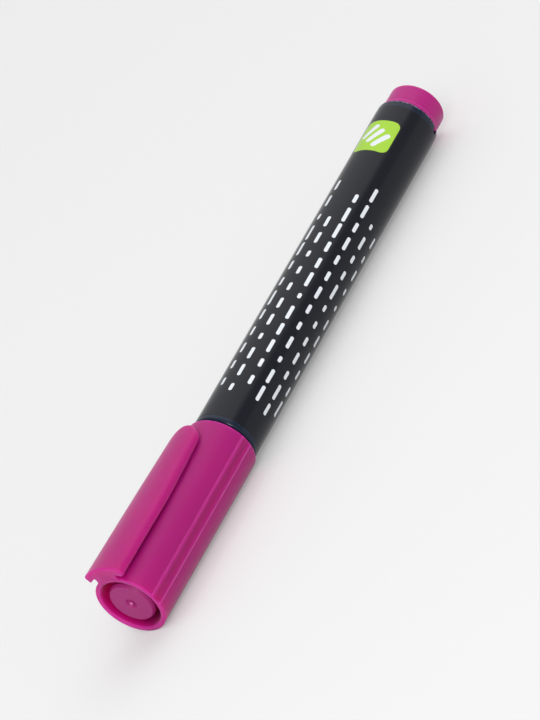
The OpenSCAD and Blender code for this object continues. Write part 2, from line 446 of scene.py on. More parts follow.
def clamped(tree, value, low, high):
    return maths(tree, "MINIMUM", maths(tree, "MAXIMUM", value, low), high)


def map_range(tree, value, start, end, low, high, curve="LINEAR"):
    limits = {"Value": value, "From Min": start, "From Max": end, "To Min": low, "To Max": high}
    return add_node(tree, "ShaderNodeMapRange", limits, interpolation_type=curve).outputs[0]


def dot_product(tree, a, b):
    node = add_node(tree, "ShaderNodeVectorMath", {0: a, 1: b}, operation="DOT_PRODUCT")
    return node.outputs["Value"]


def noise(tree, scale, along=1.0, detail=3.0):
    """Noise with scale in bumps per metre. along below 1 draws it out along the pen."""
    place = add_node(tree, "ShaderNodeTexCoord").outputs["Object"]
    scaled = add_node(tree, "ShaderNodeMapping", {"Vector": place, "Scale": (along, 1, 1)}).outputs[0]
    inputs = {"Vector": scaled, "Scale": scale, "Detail": detail}
    return add_node(tree, "ShaderNodeTexNoise", inputs).outputs["Fac"]


def spread(tree, value, low, high):
    """Maps the middle of a noise to low and high."""
    return map_range(tree, value, NOISE_LOW, NOISE_HIGH, low, high)


def mix_colour(tree, factor, a, b):
    node = add_node(tree, "ShaderNodeMix", {"Factor": factor, "A": a, "B": b}, data_type="RGBA")
    return node.outputs["Result"]


def shade(colour, factor):
    return tuple(c * factor for c in colour[:3]) + (1,)


def bump(tree, height, depth, strength):
    """Normals of a height map. depth is in millimetres."""
    inputs = {"Height": height, "Distance": depth * MM, "Strength": strength}
    return add_node(tree, "ShaderNodeBump", inputs).outputs[0]


def worn_edges(tree):
    """1 along sharp edges, 0 on open faces."""
    soft = add_node(tree, "ShaderNodeBevel", {"Radius": WORN_EDGE_R * MM}, samples=4).outputs[0]
    plain = add_node(tree, "ShaderNodeNewGeometry").outputs["Normal"]
    away = minus(tree, 1.0, dot_product(tree, soft, plain))
    return add_node(tree, "ShaderNodeClamp", {"Value": times(tree, away, WORN_EDGE_GAIN)}).outputs[0]


def dust_specks(tree):
    """1 on sparse round specks."""
    place = add_node(tree, "ShaderNodeTexCoord").outputs["Object"]
    inputs = {"Vector": place, "Scale": 1 / (DUST_CELL * MM)}
    cells = add_node(tree, "ShaderNodeTexVoronoi", inputs).outputs
    near = maths(tree, "LESS_THAN", cells["Distance"], DUST_R / DUST_CELL)
    pick = add_node(tree, "ShaderNodeSeparateColor", {"Color": cells["Color"]}).outputs[0]
    return times(tree, near, maths(tree, "LESS_THAN", pick, DUST_SHARE))


# Places on the pen, as materials read them


def object_axes(tree):
    """Place in the part's frame, in metres along each axis."""
    place = add_node(tree, "ShaderNodeTexCoord").outputs["Object"]
    return add_node(tree, "ShaderNodeSeparateXYZ", {"Vector": place}).outputs


def along_pen(tree):
    """Place along the pen, in millimetres from the part's origin."""
    return maths(tree, "DIVIDE", object_axes(tree)["X"], MM)


def from_axis(tree):
    """Distance from the pen's axis, in millimetres."""
    axes = object_axes(tree)
    square = plus(tree, times(tree, axes["Y"], axes["Y"]), times(tree, axes["Z"], axes["Z"]))
    return maths(tree, "DIVIDE", maths(tree, "SQRT", square), MM)


def round_pen(tree):
    """Turn round the pen's axis from up towards -Y, in radians."""
    axes = object_axes(tree)
    return maths(tree, "ARCTAN2", times(tree, axes["Y"], -1.0), axes["Z"])


def inside(tree, distance):
    """1 where a distance in millimetres is below zero, with a thin soft edge."""
    return map_range(tree, distance, -MARK_EDGE, MARK_EDGE, 1.0, 0.0)


def band(tree, value, middle, half):
    """1 where a value in millimetres lies within half of a middle."""
    off = maths(tree, "ABSOLUTE", minus(tree, value, middle))
    return inside(tree, minus(tree, off, half))


def ring_band(tree, middle, half):
    """1 on a ring round the pen, within half of a place along it."""
    return band(tree, along_pen(tree), middle - ORIGIN_Z, half)


def from_bead_pair(tree):
    """Distance round the cap from the middle of the nearest pair of beads, in millimetres."""
    arc = times(tree, maths(tree, "ABSOLUTE", round_pen(tree)), CAP_R)
    return maths(tree, "PINGPONG", arc, CAP_R * math.pi / 4)


def on_cap_wall(tree, turns):
    """1 on the outside of the cap's wall, rising between two turns in degrees away from the clip."""
    start, end = (math.radians(turn) for turn in turns)
    away = map_range(tree, maths(tree, "ABSOLUTE", round_pen(tree)), start, end, 0.0, 1.0)
    return times(tree, away, band(tree, from_axis(tree), CAP_R + BEAD_HEIGHT / 2, CAP_WALL_HALF))


# Marks on the plastics, and painted shade and highlights


def bead_flank_highlights(tree):
    """Painted highlight, with some rubbing, on the outer sides of the grip beads, more so away from the
    clip.
    """
    middle = BEAD_HALF_ARC + BEAD_HIGHLIGHT_OFF
    line = band(tree, from_bead_pair(tree), middle, BEAD_HIGHLIGHT_HALF_W)
    patchy = spread(tree, noise(tree, 1200, 0.3), 0.6, 1.0)
    return times(tree, line, patchy, on_cap_wall(tree, BEAD_HIGHLIGHT_TURNS))


def bead_channel_shade(tree):
    """Painted shade between the two beads of a pair."""
    channel = band(tree, from_bead_pair(tree), 0.0, BEAD_HALF_ARC - BEAD_HALF_W / 2)
    return times(tree, channel, on_cap_wall(tree, CHANNEL_TURNS))


def cap_rim_wear_and_highlight(tree):
    """Lighter end of the cap and the clip's root: faint rubbing and a painted highlight."""
    ring = ring_band(tree, CAP_END, CAP_END_EDGE)
    return times(tree, ring, spread(tree, noise(tree, 1500), 0.15, 0.35))


def painted_gap_shade(tree):
    """Painted shade: 1 inside the cap's bore and deep in it, darker where little light comes through the
    plastic.
    """
    start, end = CAP_END + GAP_LIT - ORIGIN_Z, CAP_END + GAP_DARK - ORIGIN_Z
    deep = map_range(tree, along_pen(tree), start, end, 0.0, 1.0)
    return times(tree, deep, inside(tree, minus(tree, from_axis(tree), GAP_R)))


def gate_scar_highlight(tree):
    """Pale gate scar with a painted highlight, in the middle of the inner cap's face."""
    on_face = maths(tree, "LESS_THAN", along_pen(tree), CUP_FACE + GATE_HIGHLIGHT_DEPTH - ORIGIN_Z)
    return times(tree, on_face, band(tree, from_axis(tree), 0.0, GATE_HIGHLIGHT_R))


def collar_edge_highlight(tree):
    """Edge of the plug's collar: rubbing and a painted highlight."""
    ring = ring_band(tree, COLLAR_REAR - RIM_HIGHLIGHT_HALF_W, RIM_HIGHLIGHT_HALF_W)
    return times(tree, ring, spread(tree, noise(tree, 1200), 0.2, 0.9))


def rear_rim_highlight(tree):
    """Painted highlight in specks along the barrel's rear rim, on its rough moulding flash."""
    ring = ring_band(tree, BARREL_REAR - RIM_HIGHLIGHT_OFF, RIM_HIGHLIGHT_HALF_W)
    return times(tree, ring, spread(tree, noise(tree, 1500), -0.6, 1.0))


# Plastics


def translucent(shader, reach):
    """Lets light into a plastic. reach is in millimetres."""
    shader.inputs["Subsurface Weight"].default_value = 0.85
    shader.inputs["Subsurface Radius"].default_value = LIGHT_SPREAD
    shader.inputs["Subsurface Scale"].default_value = reach * MM
    shader.inputs["Sheen Weight"].default_value = 0.08
    shader.inputs["Sheen Roughness"].default_value = 0.35


def moulded_plastic(name, colour, worn, dust, roughness, ior, marks_and_painted_light, light_reach=None):
    """Satin moulded plastic: clouding, flow marks, rubbed edges, marks and painted light, dust, grain.

    Each mark, painted shade and highlights too, is a pair of a function for its place and a colour.
    Light comes into the plastic where its reach is given.
    """
    material, tree, shader = new_material(name)
    clouds = noise(tree, 260)
    flow = noise(tree, 900, 0.12, 2)
    tone = plus(tree, times(tree, clouds, 0.6), times(tree, flow, 0.4))
    painted = mix_colour(tree, tone, shade(colour, 0.94), shade(colour, 1.06))
    edges = times(tree, worn_edges(tree), spread(tree, noise(tree, 2200), 0.05, 0.25))
    painted = mix_colour(tree, edges, painted, worn)
    for place, mark_colour in marks_and_painted_light:
        painted = mix_colour(tree, place(tree), painted, mark_colour)
    painted = mix_colour(tree, dust_specks(tree), painted, dust)
    tree.links.new(painted, shader.inputs["Base Color"])
    handled = spread(tree, noise(tree, 1400, 0.3), roughness - 0.05, roughness + 0.05)
    tree.links.new(handled, shader.inputs["Roughness"])
    grain = plus(tree, noise(tree, 9000, detail=2), times(tree, noise(tree, 1100), 1.5))
    tree.links.new(bump(tree, grain, GRAIN_DEPTH, 0.35), shader.inputs["Normal"])
    shader.inputs["IOR"].default_value = ior
    if light_reach:
        translucent(shader, light_reach)
    return material


def magenta_plastic(name, colour, *looks):
    """Plastic of the cap, the inner cap or the plug."""
    return moulded_plastic(name, colour, MAGENTA_WEAR_AND_HIGHLIGHT, MAGENTA_DUST, *looks)


# Painted shade in the bore and between the beads, and painted highlights on rims, beads, collar and gate
cap_marks_and_painted_light = (
    (cap_rim_wear_and_highlight, MAGENTA_WEAR_AND_HIGHLIGHT),
    (painted_gap_shade, MAGENTA_GAP_SHADE),
    (bead_channel_shade, MAGENTA_CHANNEL_SHADE),
    (bead_flank_highlights, MAGENTA_WEAR_AND_HIGHLIGHT),
)
plug_painted_highlight = ((collar_edge_highlight, MAGENTA_WEAR_AND_HIGHLIGHT),)
inner_painted_light = ((painted_gap_shade, MAGENTA_GAP_SHADE), (gate_scar_highlight, MAGENTA_SCAR_HIGHLIGHT))
barrel_painted_highlight = ((rear_rim_highlight, NAVY_RIM_HIGHLIGHT),)
cap_plastic = magenta_plastic("cap_plastic", MAGENTA, 0.38, 1.3, cap_marks_and_painted_light, CAP_LIGHT_REACH)
plug_plastic = magenta_plastic("plug_plastic", MAGENTA_PLUG_LIT, 0.38, 1.3, plug_painted_highlight, PLUG_LIGHT_REACH)
inner_plastic = magenta_plastic("inner_plastic", MAGENTA_SHADED, 0.45, 1.32, inner_painted_light)
barrel_plastic = moulded_plastic("barrel_plastic", NAVY, NAVY_WORN, NAVY_DUST, 0.14, 1.34, barrel_painted_highlight)


# Printed pattern of the label, in millimetres along and round it: rows of dashes, and a panel of bars

ROW_FIRST_TURN = -3
ROW_PITCH_TURN = 25
ROW_COUNT = 6
ROW_FRONT = -37.0
ROW_SHORTEST = 48.0
ROW_LONGEST = 66.0
ROW_SHIFT = 1.7
ROW_SEED = 7.0
DASH_CELL = 4.6
DASH_HALF_MIN = 0.25
DASH_HALF_MAX = 1.65
DASH_R = 0.38
PANEL_ALONG = 35.0
PANEL_TURN = 18
PANEL_HALF_LEN = 4.4
PANEL_HALF_W = 4.2
PANEL_CORNER = 1.5
BAR_COUNT = 3
BAR_SLANT = math.radians(35)
BAR_PITCH = 2.1
BAR_HALF_LEN = 1.7
BAR_R = 0.6


def bar_distance(tree, along, across, half, radius):
    """Distance from a round-ended bar that lies along the first direction."""
    past = maths(tree, "MAXIMUM", minus(tree, maths(tree, "ABSOLUTE", along), half), 0.0)
    square = plus(tree, times(tree, past, past), times(tree, across, across))
    return minus(tree, maths(tree, "SQRT", square), radius)


def random_value(tree, a, b):
    pair = add_node(tree, "ShaderNodeCombineXYZ", {"X": a, "Y": b}).outputs[0]
    node = add_node(tree, "ShaderNodeTexWhiteNoise", {"Vector": pair}, noise_dimensions="2D")
    return node.outputs["Value"]


def random_between(tree, a, b, low, high):
    return plus(tree, times(tree, random_value(tree, a, b), high - low), low)


def dash_rows(tree, along, round_label):
    """Rows of round-ended dashes of mixed lengths. Each row ends at a place of its own."""
    degree = math.radians(1) * LABEL_R
    pitch = ROW_PITCH_TURN * degree
    from_first = minus(tree, round_label, ROW_FIRST_TURN * degree)
    row = maths(tree, "ROUND", maths(tree, "DIVIDE", from_first, pitch))
    row = clamped(tree, row, 0.0, ROW_COUNT - 1)
    across = minus(tree, from_first, times(tree, row, pitch))
    place = maths(tree, "DIVIDE", plus(tree, along, times(tree, row, ROW_SHIFT)), DASH_CELL)
    cell = maths(tree, "FLOOR", place)
    from_middle = times(tree, minus(tree, minus(tree, place, cell), 0.5), DASH_CELL)
    half = random_between(tree, cell, row, DASH_HALF_MIN, DASH_HALF_MAX)
    dashes = inside(tree, bar_distance(tree, from_middle, across, half, DASH_R))
    middle = minus(tree, minus(tree, along, from_middle), ROW_FRONT)
    length = random_between(tree, row, ROW_SEED, ROW_SHORTEST, ROW_LONGEST)
    started = maths(tree, "GREATER_THAN", middle, 0.0)
    return times(tree, dashes, started, maths(tree, "LESS_THAN", middle, length))


def bar_panel(tree, along, round_label):
    """Round-cornered panel, and the slanted bars on it."""
    a = minus(tree, along, PANEL_ALONG)
    b = minus(tree, round_label, math.radians(PANEL_TURN) * LABEL_R)
    past_b = minus(tree, maths(tree, "ABSOLUTE", b), PANEL_HALF_W - PANEL_CORNER)
    past_b = maths(tree, "MAXIMUM", past_b, 0.0)
    panel = bar_distance(tree, a, past_b, PANEL_HALF_LEN - PANEL_CORNER, PANEL_CORNER)
    cosine, sine = math.cos(BAR_SLANT), math.sin(BAR_SLANT)
    along_bars = plus(tree, times(tree, a, cosine), times(tree, b, sine))
    across_bars = minus(tree, times(tree, b, cosine), times(tree, a, sine))
    outermost = (BAR_COUNT - 1) / 2
    bar = maths(tree, "ROUND", maths(tree, "DIVIDE", across_bars, BAR_PITCH))
    bar = clamped(tree, bar, -outermost, outermost)
    across = minus(tree, across_bars, times(tree, bar, BAR_PITCH))
    bars = bar_distance(tree, along_bars, across, BAR_HALF_LEN, BAR_R)
    return inside(tree, panel), inside(tree, bars)


# Label film, nib and reservoir


def label_material():
    """Glossy printed film: uneven gloss, and a faint waviness from the barrel under it."""
    material, tree, shader = new_material("label_film")
    along = along_pen(tree)
    round_label = times(tree, round_pen(tree), LABEL_R)
    panel, bars = bar_panel(tree, along, round_label)
    dashes = dash_rows(tree, along, round_label)
    tone = mix_colour(tree, noise(tree, 500), shade(LABEL_BLACK, 0.9), shade(LABEL_BLACK, 1.1))
    printed = mix_colour(tree, panel, tone, PRINT_LIME)
    printed = mix_colour(tree, maths(tree, "MAXIMUM", bars, dashes), printed, PRINT_WHITE)
    tree.links.new(printed, shader.inputs["Base Color"])
    handled = spread(tree, noise(tree, 420, 0.5), 0.11, 0.17)
    tree.links.new(handled, shader.inputs["Roughness"])
    waves = plus(tree, noise(tree, 160, 0.4, 1), times(tree, noise(tree, 2600), 0.1))
    tree.links.new(bump(tree, waves, 0.02, 0.25), shader.inputs["Normal"])
    shader.inputs["IOR"].default_value = 1.3
    return material


def fibre_material(name, colour, along):
    """Bonded fibre soaked with ink: strands that run along the pen, matt and uneven."""
    material, tree, shader = new_material(name)
    strands = noise(tree, 5200, along, 2)
    soaked = noise(tree, 320)
    tone = plus(tree, times(tree, strands, 0.6), times(tree, soaked, 0.4))
    colours = mix_colour(tree, tone, shade(colour, 0.6), shade(colour, 1.5))
    tree.links.new(colours, shader.inputs["Base Color"])
    tree.links.new(spread(tree, strands, 0.75, 0.95), shader.inputs["Roughness"])
    tree.links.new(bump(tree, strands, 0.06, 0.8), shader.inputs["Normal"])
    return material


def film_material():
    """Thin clear film round the reservoir, stained by the ink behind it."""
    material, tree, shader = new_material("reservoir_film")
    stains = mix_colour(tree, noise(tree, 180), FILM_STAINED, FILM_CLEAR)
    tree.links.new(stains, shader.inputs["Base Color"])
    tree.links.new(spread(tree, noise(tree, 700, 0.2), 0.18, 0.3), shader.inputs["Roughness"])
    tree.links.new(bump(tree, noise(tree, 300, 0.15), 0.03, 0.4), shader.inputs["Normal"])
    shader.inputs["Transmission Weight"].default_value = 0.4
    return material


label_film = label_material()
nib_fibre = fibre_material("nib_fibre", NIB_INK, 0.06)
reservoir_fibre = fibre_material("reservoir_fibre", RESERVOIR_INK, 0.03)
reservoir_film = film_material()


# Cap shell


def bead_lift(z, radius, turn):
    """Radius of the cap's wall with the grip beads on it, and the shallow channel in each pair."""
    if radius < CAP_R - SAME_POINT or not BEAD_FRONT < z < BEAD_REAR:
        return radius
    in_pair = nearest_gap(turn, BEAD_PLACES) < BEAD_HALF_TURN
    foot = -BEAD_CHANNEL if in_pair else 0.0
    off = math.radians(nearest_gap(turn, BEAD_CENTRES)) * CAP_R
    arc_r = (BEAD_HALF_W**2 + BEAD_HEIGHT**2) / (2 * BEAD_HEIGHT)
    wave = (math.sqrt(arc_r**2 - min(off, BEAD_HALF_W) ** 2) - arc_r + BEAD_HEIGHT) / BEAD_HEIGHT
    ramp = min(1.0, (z - BEAD_FRONT) / BEAD_END_RAMP, (BEAD_REAR - z) / BEAD_END_RAMP)
    return radius + (foot + (BEAD_HEIGHT - foot) * wave) * math.sqrt(max(1 - (1 - ramp) ** 2, 0.0))


def cap_turns():
    """Turns round the cap: even ones, with the beads' own between them."""
    span = math.degrees(BEAD_HALF_W / CAP_R)
    clear = span + BEAD_CLEAR_TURN
    turns = [t for t in even_turns(CAP_FACETS) if nearest_gap(t, BEAD_CENTRES) > clear]
    for centre in BEAD_CENTRES:
        for k in range(-BEAD_HALF_FACETS, BEAD_HALF_FACETS + 1):
            turns.append((centre + span * k / BEAD_HALF_FACETS) % 360)
    return sorted(turns)


def cap_wall():
    bead_front = [(BEAD_FRONT + BEAD_END_RAMP * s, CAP_R, 0) for s in BEAD_RAMP_SHARES]
    bead_rear = [(BEAD_REAR - BEAD_END_RAMP * s, CAP_R, 0) for s in reversed(BEAD_RAMP_SHARES)]
    corners = [
        (CAP_END, CAP_R, CAP_END_EDGE),
        *bead_front,
        *bead_rear,
        (CAP_MOUTH, CAP_R, CAP_MOUTH_EDGE),
        (CAP_MOUTH, CAP_BORE_R + CAP_MOUTH_BEVEL, FINE_EDGE),
        (CAP_MOUTH - CAP_MOUTH_BEVEL, CAP_BORE_R, FINE_EDGE),
        (CAP_END, CAP_BORE_R, CAP_BORE_EDGE),
    ]
    return revolve("cap_shell_looks", rounded(corners), True, cap_turns(), bead_lift)


def clip_radius(z, root, tip):
    """Radius of the clip's inner or outer face, which slopes from the root to the tip."""
    return root + (tip - root) * max(z, 0.0) / CLIP_LEN


def clip_thickness(z):
    outer = clip_radius(z, CLIP_ROOT_OUT_R, CLIP_TIP_OUT_R)
    return outer - clip_radius(z, CLIP_ROOT_IN_R, CLIP_TIP_IN_R)


def clip_plan_width(z):
    """Half-width of the clip's plan, along the arcs of its sides."""
    return CLIP_PLAN_HALF_W - CLIP_SIDE_R + math.sqrt(CLIP_SIDE_R**2 - z * z)


def clip_place(side, z, rise):
    """Point of the clip. rise is 0 on its inner face and its thickness on its outer face."""
    radius = clip_radius(z, CLIP_ROOT_IN_R, CLIP_TIP_IN_R) + rise
    reach = radius * math.sin(math.radians(CLIP_HALF_TURN))
    squeeze = min(1.0, reach / clip_plan_width(max(z, 0.0)))
    return side_point(z, side * squeeze, radius)


def clip_outline():
    """Plan of the clip as a loop of (side, z) points, from its left root corner by the right side."""
    half = CLIP_HALF_FACETS
    flat_facets = half - CLIP_CORNER_FACETS
    corner_facets = 2 * CLIP_CORNER_FACETS
    flat = CLIP_PLAN_HALF_W - CLIP_CORNER_R
    run = [(flat * i / flat_facets, 0.0) for i in range(flat_facets)]
    for a in quarter(corner_facets)[:-1]:
        run.append((flat + CLIP_CORNER_R * math.sin(a), CLIP_CORNER_R * (1 - math.cos(a))))
    for i in range(CLIP_LONG_FACETS):
        z = CLIP_CORNER_R + (CLIP_TIP_Z - CLIP_CORNER_R) * i / CLIP_LONG_FACETS
        run.append((clip_plan_width(z), z))
    for count, start, end in ((CLIP_TIP_FACETS, 0, CLIP_TIP_SPLIT), (half, CLIP_TIP_SPLIT, 90)):
        for i in range(count):
            a = math.radians(start + (end - start) * i / count)
            run.append((CLIP_TIP_R * math.cos(a), CLIP_TIP_Z + CLIP_TIP_R * math.sin(a)))
    run.append((0.0, CLIP_LEN))
    mirrored = [(-side, z) for side, z in run]
    return mirrored[half:0:-1] + run + mirrored[-2:half:-1]


def inward(loop):
    """Inward normals of a loop, lengthened at corners, at most twofold, so that insets keep their width."""
    normals = []
    for i, here in enumerate(loop):
        into = (Vector(here) - Vector(loop[i - 1])).normalized().orthogonal()
        out = (Vector(loop[(i + 1) % len(loop)]) - Vector(here)).normalized().orthogonal()
        middle = (into + out).normalized()
        normals.append(middle / max(middle.dot(into), 0.5))
    return normals


def clip_face(bm, plan, verts, on_top):
    """Closes a ring of the clip with a smooth grid."""
    across = 2 * CLIP_HALF_FACETS
    length = CLIP_SIDE_FACETS
    count = len(plan)
    grid = {}
    for i in range(across + 1):
        far = (2 * across + length - i) % count
        grid[i, 0] = (verts[i], plan[i])
        grid[i, length] = (verts[far], plan[far])
    for j in range(1, length):
        grid[across, j] = (verts[across + j], plan[across + j])
        grid[0, j] = (verts[count - j], plan[count - j])
    for i in range(1, across):
        u = i / across
        for j in range(1, length):
            v = j / length
            ends = grid[i, 0][1] * (1 - v) + grid[i, length][1] * v
            sides = grid[0, j][1] * (1 - u) + grid[across, j][1] * u
            near = grid[0, 0][1] * (1 - u) + grid[across, 0][1] * u
            far = grid[0, length][1] * (1 - u) + grid[across, length][1] * u
            p = ends + sides - near * (1 - v) - far * v
            rise = clip_thickness(p.y) if on_top else 0.0
            grid[i, j] = (bm.verts.new(clip_place(p.x, p.y, rise)), p)
    for i in range(across):
        for j in range(length):
            corners = (grid[i, j], grid[i + 1, j], grid[i + 1, j + 1], grid[i, j + 1])
            bm.faces.new([vert for vert, _ in corners])


def clip_piece():
    """Curved clip: rings of its rounded edges, closed by a smooth grid above and below."""
    loop = clip_outline()
    normals = inward(loop)
    at_root = [max(n.y, 0.0) for n in normals]
    lower = [CLIP_LOWER_EDGE * (1 - root) + CLIP_LEAST_EDGE for root in at_root]
    upper = [CLIP_EDGE + (CLIP_ROOT_EDGE - CLIP_EDGE) * min(root, 1.0) for root in at_root]
    bm = bmesh.new()

    def ring(edges, inset_share, rise):
        plan = [Vector(p) + n * (edge * inset_share) for p, n, edge in zip(loop, normals, edges)]
        places = [clip_place(p.x, p.y, rise(edge, p.y)) for p, edge in zip(plan, edges)]
        return plan, [bm.verts.new(place) for place in places]

    levels = []
    for a in quarter(EDGE_FACETS):
        levels.append(ring(lower, 1 - math.sin(a), lambda edge, z: edge * (1 - math.cos(a))))
    for a in quarter(EDGE_FACETS):
        drop = 1 - math.sin(a)
        levels.append(ring(upper, 1 - math.cos(a), lambda edge, z: clip_thickness(z) - edge * drop))
    for (_, below), (_, above) in zip(levels, levels[1:]):
        join_rings(bm, below, above)
    clip_face(bm, *levels[0], False)
    clip_face(bm, *levels[-1], True)
    return new_piece("clip", bm)


def clip_neck_plan(flare):
    """Plan of the clip's neck as a loop of (side, z) points, widened by a share of the fillet."""
    half = CLIP_NECK_HALF_W + CLIP_NECK_FILLET * flare
    rear = CLIP_NECK_LEN + CLIP_NECK_FILLET * flare
    corner = CLIP_NECK_CORNER_R
    across = CLIP_NECK_FACETS
    turns = quarter(CLIP_NECK_CORNER_FACETS)
    plan = [(half * (2 * i / across - 1), CLIP_NECK_FRONT) for i in range(across + 1)]
    for a in turns:
        plan.append((half - corner + corner * math.cos(a), rear - corner + corner * math.sin(a)))
    for i in range(1, across):
        plan.append(((half - corner) * (1 - 2 * i / across), rear))
    for a in turns:
        plan.append((-half + corner - corner * math.sin(a), rear - corner + corner * math.cos(a)))
    return plan


def clip_neck():
    """Block that carries the clip, flared where it meets the cap and the clip."""
    turns = quarter(CLIP_NECK_FILLET_FACETS)
    levels = [(CAP_R - CLIP_NECK_SINK, 1.0)]
    levels += [(CAP_R + CLIP_NECK_FILLET * (1 - math.cos(a)), 1 - math.sin(a)) for a in turns]
    levels += [(CLIP_ROOT_IN_R - CLIP_NECK_FILLET * (1 - math.sin(a)), 1 - math.cos(a)) for a in turns]
    levels.append((CLIP_ROOT_IN_R + CLIP_NECK_SINK, 1.0))
    bm = bmesh.new()
    rings = []
    for radius, flare in levels:
        rings.append([bm.verts.new(side_point(z, side, radius)) for side, z in clip_neck_plan(flare)])
    for below, above in zip(rings, rings[1:]):
        join_rings(bm, below, above)
    bm.faces.new(rings[0])
    bm.faces.new(rings[-1])
    return new_piece("clip_neck", bm)


cap = cap_wall()
combine(cap, clip_neck(), "UNION")
combine(cap, clip_piece(), "UNION")
dress(cap, "cap", "cap_shell", cap_plastic)


# Inner cap


def rib_lift(z, radius, turn):
    """Radius of the inner cap with its ribs on it."""
    half_step = CUP_RIB_STEP / 2
    along_rib = CUP_RIB_START + half_step < z < CUP_RIB_END - half_step
    on_rib = along_rib and nearest_gap(turn, CUP_RIB_TURNS) <= CUP_RIB_HALF_TURN
    return CUP_RIB_R if on_rib and radius > CUP_R - SAME_POINT else radius


def cup_turns():
    """Turns round the inner cap: even ones, with the flanks of the ribs between them."""
    turns = even_turns(CUP_FACETS)
    for middle in CUP_RIB_TURNS:
        for half in (CUP_RIB_HALF_TURN, CUP_RIB_HALF_TURN + CUP_RIB_FLANK_TURN):
            turns += [(middle - half) % 360, (middle + half) % 360]
    return sorted(turns)


def inner_cap():
    corners = [
        (CUP_FACE, 0, 0),
        (CUP_FACE, GATE_NUB_R, GATE_NUB_R / 2),
        (CUP_FACE + GATE_DEPTH, GATE_NUB_R + GATE_NUB_SLOPE, GATE_EDGE),
        (CUP_FACE + GATE_DEPTH, GATE_R - GATE_SLOPE, GATE_EDGE),
        (CUP_FACE, GATE_R, 0.1),
        (CUP_FACE, CUP_R - CUP_BEVEL, CUP_BEVEL_EDGE),
        (CUP_FACE + CUP_BEVEL_LEN, CUP_R, CUP_BEVEL_EDGE),
        (CUP_RIB_START, CUP_R, 0),
        (CUP_RIB_START + CUP_RIB_STEP, CUP_R, 0),
        (CUP_RIB_END - CUP_RIB_STEP, CUP_R, 0),
        (CUP_RIB_END, CUP_R, 0),
        (CUP_MOUTH, CUP_R, 0.15),
        (CUP_MOUTH, CUP_BORE_R, 0.2),
        (CUP_FLOOR, CUP_BORE_R, 0.2),
        (CUP_FLOOR, 0, 0),
    ]
    return revolve("inner_cap_looks", rounded(corners), False, cup_turns(), rib_lift)


cup = inner_cap()
dress(cup, "cap", "inner_cap", inner_plastic)


# Barrel


def notch_tool():
    """Round-cornered block that cuts the pry notch."""
    size = Vector((2 * NOTCH_DEPTH, NOTCH_W, NOTCH_BLOCK)) * MM
    corner_r = NOTCH_CORNER_R * MM
    bm = bmesh.new()
    bmesh.ops.create_cube(bm, size=1)
    bmesh.ops.scale(bm, vec=size, verts=bm.verts)
    bmesh.ops.bevel(bm, geom=bm.edges, offset=corner_r, segments=3, profile=0.5, affect="EDGES")
    tool = new_piece("notch_tool", bm)
    tool.rotation_euler = (math.radians(NOTCH_TURN), 0, 0)
    tool.location = pen_point(BARREL_REAR, BARREL_BORE_R + NOTCH_BLOCK / 2 - NOTCH_SINK, NOTCH_TURN)
    bpy.context.view_layer.update()
    return tool


def barrel_piece():
    corners = [
        (NOSE_FRONT, NIB_BORE_R + NOSE_LEAD, 0.1),
        (NOSE_FRONT, NOSE_R, 0.35),
        (CONE_FRONT, NOSE_R, 0.15),
        (CONE_FRONT, CONE_TIP_R, 0.25),
        (NECK_FRONT, NECK_R, 0.8),
        (SNAP_BEAD - SNAP_HALF_LEN, NECK_R, 0.3),
        (SNAP_BEAD, SNAP_R, 0.8),
        (SNAP_BEAD + SNAP_HALF_LEN, NECK_R, 0.3),
        (SHOULDER, NECK_R, 0.12),
        (SHOULDER, BAND_R, SHOULDER_EDGE),
        (LABEL_FRONT - CLEARANCE, BAND_R, 0),
        (LABEL_FRONT - CLEARANCE, BARREL_R, 0),
        (LABEL_REAR + CLEARANCE, BARREL_R, 0),
        (LABEL_REAR + CLEARANCE, BAND_R, 0),
        (BARREL_REAR, BAND_R, REAR_RIM_EDGE),
        (BARREL_REAR, BARREL_BORE_R, FINE_EDGE),
        (BORE_STEP, BARREL_BORE_R, FINE_EDGE),
        (BORE_STEP, FRONT_BORE_R, FINE_EDGE),
        (NECK_FRONT, FRONT_BORE_R, FINE_EDGE),
        (CONE_FRONT, NIB_BORE_R, FINE_EDGE),
        (NOSE_FRONT + NOSE_LEAD, NIB_BORE_R, FINE_EDGE),
    ]
    return revolve("barrel_looks", rounded(corners), True, even_turns(BARREL_FACETS))


barrel = barrel_piece()
combine(barrel, notch_tool(), "DIFFERENCE")
dress(barrel, "pen", "barrel", barrel_plastic)


# Label film


def label_lift(z, radius, turn):
    """Radius of the film: the free edge is a step, and the overlap runs out gently behind it."""
    past = (turn - SEAM_TURN) % 360
    if radius < (LABEL_BORE_R + LABEL_R) / 2 or past > SEAM_OVERLAP:
        return radius
    return radius + SEAM_RISE * math.cos(math.pi / 2 * past / SEAM_OVERLAP)


def label_piece():
    corners = [
        (LABEL_FRONT, LABEL_R, LABEL_EDGE),
        (LABEL_REAR, LABEL_R, LABEL_EDGE),
        (LABEL_REAR, LABEL_BORE_R, 0),
        (LABEL_FRONT, LABEL_BORE_R, 0),
    ]
    turns = sorted([*even_turns(LABEL_FACETS), *SEAM_STEP])
    return revolve("label_film_looks", rounded(corners, steps=3), True, turns, label_lift)


label = label_piece()
dress(label, "pen", "label_film", label_film)


# End plug


